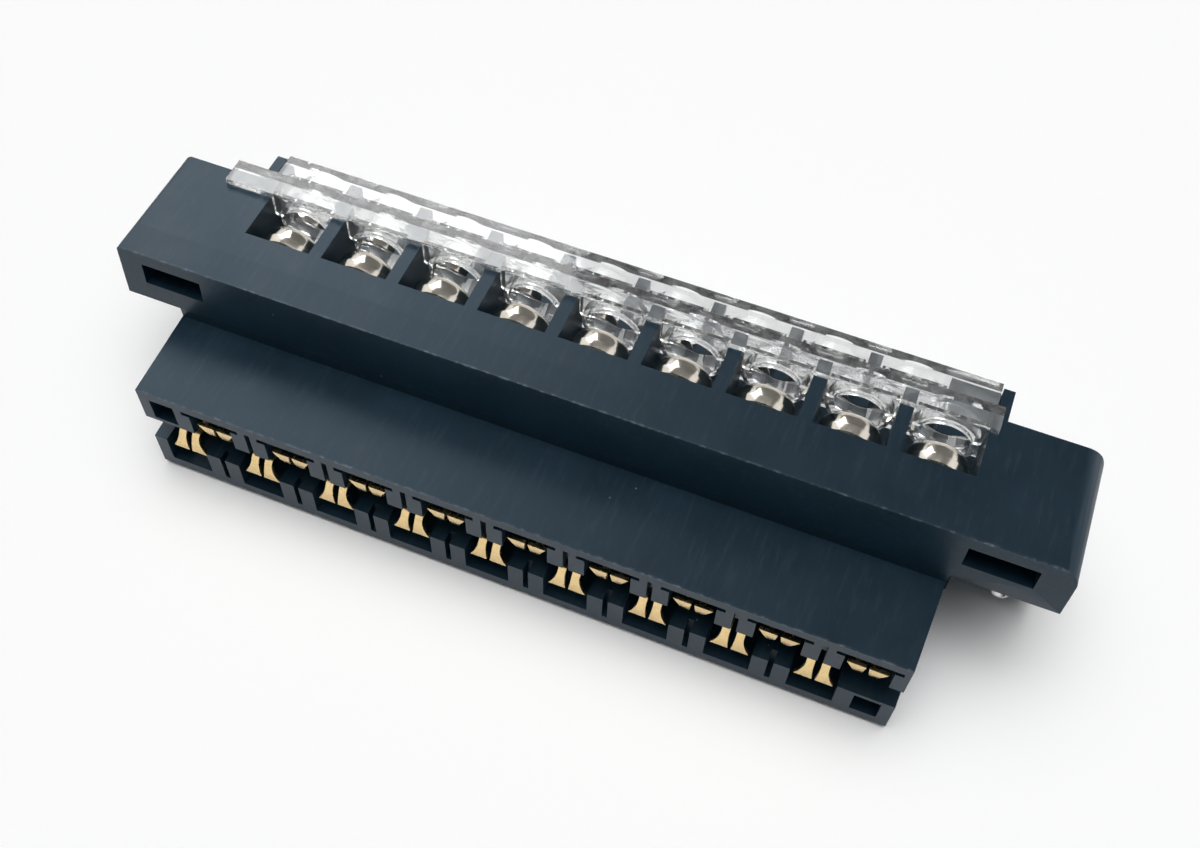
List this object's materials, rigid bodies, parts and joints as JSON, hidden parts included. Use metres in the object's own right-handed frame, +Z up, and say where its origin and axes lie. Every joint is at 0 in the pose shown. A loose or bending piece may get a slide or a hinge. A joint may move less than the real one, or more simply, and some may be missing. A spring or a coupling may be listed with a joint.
{
  "type": "plc terminal block",
  "caption": "Plug-in screw terminal block: black body with card-edge plug, two stepped rows of terminals, clear hinged guards.",
  "frame": {"origin": "centre of the flat base face, below the middle of the plug", "axes": "+X along the terminal rows, +Y away from the plug's mouth towards the screw heads, +Z up from the base"},
  "size_m": [0.087, 0.0306, 0.0197],
  "materials": {
    "body": "fine matt moulded black plastic",
    "guard": "clear moulded plastic",
    "contact": "gold-flashed bronze strip",
    "washer": "bright nickel plate",
    "terminal_screw": "bright nickel plate",
    "mounting_screw": "bright nickel plate"
  },
  "bodies": {
    "block": {"body": "body", "front_contact_1": "contact", "front_contact_2": "contact", "front_contact_3": "contact", "front_contact_4": "contact", "front_contact_5": "contact", "front_contact_6": "contact", "front_contact_7": "contact", "front_contact_8": "contact", "front_contact_9": "contact", "rear_contact_1": "contact", "rear_contact_2": "contact", "rear_contact_3": "contact", "rear_contact_4": "contact", "rear_contact_5": "contact", "rear_contact_6": "contact", "rear_contact_7": "contact", "rear_contact_8": "contact", "rear_contact_9": "contact"},
    "front_guard": {"front_guard": "guard"},
    "rear_guard": {"rear_guard": "guard"},
    "left_mounting_screw": {"left_mounting_screw": "mounting_screw"},
    "right_mounting_screw": {"right_mounting_screw": "mounting_screw"},
    "front_terminal_1": {"front_screw_1": "terminal_screw", "front_washer_1": "washer"},
    "front_terminal_2": {"front_screw_2": "terminal_screw", "front_washer_2": "washer"},
    "front_terminal_3": {"front_screw_3": "terminal_screw", "front_washer_3": "washer"},
    "front_terminal_4": {"front_screw_4": "terminal_screw", "front_washer_4": "washer"},
    "front_terminal_5": {"front_screw_5": "terminal_screw", "front_washer_5": "washer"},
    "front_terminal_6": {"front_screw_6": "terminal_screw", "front_washer_6": "washer"},
    "front_terminal_7": {"front_screw_7": "terminal_screw", "front_washer_7": "washer"},
    "front_terminal_8": {"front_screw_8": "terminal_screw", "front_washer_8": "washer"},
    "front_terminal_9": {"front_screw_9": "terminal_screw", "front_washer_9": "washer"},
    "rear_terminal_1": {"rear_screw_1": "terminal_screw", "rear_washer_1": "washer"},
    "rear_terminal_2": {"rear_screw_2": "terminal_screw", "rear_washer_2": "washer"},
    "rear_terminal_3": {"rear_screw_3": "terminal_screw", "rear_washer_3": "washer"},
    "rear_terminal_4": {"rear_screw_4": "terminal_screw", "rear_washer_4": "washer"},
    "rear_terminal_5": {"rear_screw_5": "terminal_screw", "rear_washer_5": "washer"},
    "rear_terminal_6": {"rear_screw_6": "terminal_screw", "rear_washer_6": "washer"},
    "rear_terminal_7": {"rear_screw_7": "terminal_screw", "rear_washer_7": "washer"},
    "rear_terminal_8": {"rear_screw_8": "terminal_screw", "rear_washer_8": "washer"},
    "rear_terminal_9": {"rear_screw_9": "terminal_screw", "rear_washer_9": "washer"}
  },
  "joints": [
    {"name": "front_guard_hinge", "type": "hinge", "parent": "block", "child": "front_guard", "pos_m": [0, 0.00288, 0.0133], "axis": [-1, 0, 0], "range_deg": [0, 80]},
    {"name": "rear_guard_hinge", "type": "hinge", "parent": "block", "child": "rear_guard", "pos_m": [0, 0.01059, 0.0067], "axis": [-1, 0, 0], "range_deg": [0, 100]},
    {"name": "left_mounting_screw_turn", "type": "hinge", "parent": "block", "child": "left_mounting_screw", "pos_m": [-0.03954, -0.00371, 0.0063], "axis": [0, 1, 0], "continuous": true},
    {"name": "right_mounting_screw_turn", "type": "hinge", "parent": "block", "child": "right_mounting_screw", "pos_m": [0.04144, -0.00371, 0.0063], "axis": [0, 1, 0], "continuous": true},
    {"name": "front_screw_turn_1", "type": "hinge", "parent": "block", "child": "front_terminal_1", "pos_m": [-0.02857, -0.00392, 0.0156], "axis": [0, 1, 0], "continuous": true},
    {"name": "front_screw_turn_2", "type": "hinge", "parent": "block", "child": "front_terminal_2", "pos_m": [-0.02096, -0.00392, 0.0156], "axis": [0, 1, 0], "continuous": true},
    {"name": "front_screw_turn_3", "type": "hinge", "parent": "block", "child": "front_terminal_3", "pos_m": [-0.01333, -0.00392, 0.0156], "axis": [0, 1, 0], "continuous": true},
    {"name": "front_screw_turn_4", "type": "hinge", "parent": "block", "child": "front_terminal_4", "pos_m": [-0.00571, -0.00392, 0.0156], "axis": [0, 1, 0], "continuous": true},
    {"name": "front_screw_turn_5", "type": "hinge", "parent": "block", "child": "front_terminal_5", "pos_m": [0.00191, -0.00392, 0.0156], "axis": [0, 1, 0], "continuous": true},
    {"name": "front_screw_turn_6", "type": "hinge", "parent": "block", "child": "front_terminal_6", "pos_m": [0.00953, -0.00392, 0.0156], "axis": [0, 1, 0], "continuous": true},
    {"name": "front_screw_turn_7", "type": "hinge", "parent": "block", "child": "front_terminal_7", "pos_m": [0.01715, -0.00392, 0.0156], "axis": [0, 1, 0], "continuous": true},
    {"name": "front_screw_turn_8", "type": "hinge", "parent": "block", "child": "front_terminal_8", "pos_m": [0.02476, -0.00392, 0.0156], "axis": [0, 1, 0], "continuous": true},
    {"name": "front_screw_turn_9", "type": "hinge", "parent": "block", "child": "front_terminal_9", "pos_m": [0.03238, -0.00392, 0.0156], "axis": [0, 1, 0], "continuous": true},
    {"name": "rear_screw_turn_1", "type": "hinge", "parent": "block", "child": "rear_terminal_1", "pos_m": [-0.03238, 0.00379, 0.009], "axis": [0, 1, 0], "continuous": true},
    {"name": "rear_screw_turn_2", "type": "hinge", "parent": "block", "child": "rear_terminal_2", "pos_m": [-0.02476, 0.00379, 0.009], "axis": [0, 1, 0], "continuous": true},
    {"name": "rear_screw_turn_3", "type": "hinge", "parent": "block", "child": "rear_terminal_3", "pos_m": [-0.01715, 0.00379, 0.009], "axis": [0, 1, 0], "continuous": true},
    {"name": "rear_screw_turn_4", "type": "hinge", "parent": "block", "child": "rear_terminal_4", "pos_m": [-0.00953, 0.00379, 0.009], "axis": [0, 1, 0], "continuous": true},
    {"name": "rear_screw_turn_5", "type": "hinge", "parent": "block", "child": "rear_terminal_5", "pos_m": [-0.00191, 0.00379, 0.009], "axis": [0, 1, 0], "continuous": true},
    {"name": "rear_screw_turn_6", "type": "hinge", "parent": "block", "child": "rear_terminal_6", "pos_m": [0.00571, 0.00379, 0.009], "axis": [0, 1, 0], "continuous": true},
    {"name": "rear_screw_turn_7", "type": "hinge", "parent": "block", "child": "rear_terminal_7", "pos_m": [0.01333, 0.00379, 0.009], "axis": [0, 1, 0], "continuous": true},
    {"name": "rear_screw_turn_8", "type": "hinge", "parent": "block", "child": "rear_terminal_8", "pos_m": [0.02096, 0.00379, 0.009], "axis": [0, 1, 0], "continuous": true},
    {"name": "rear_screw_turn_9", "type": "hinge", "parent": "block", "child": "rear_terminal_9", "pos_m": [0.02857, 0.00379, 0.009], "axis": [0, 1, 0], "continuous": true}
  ]
}
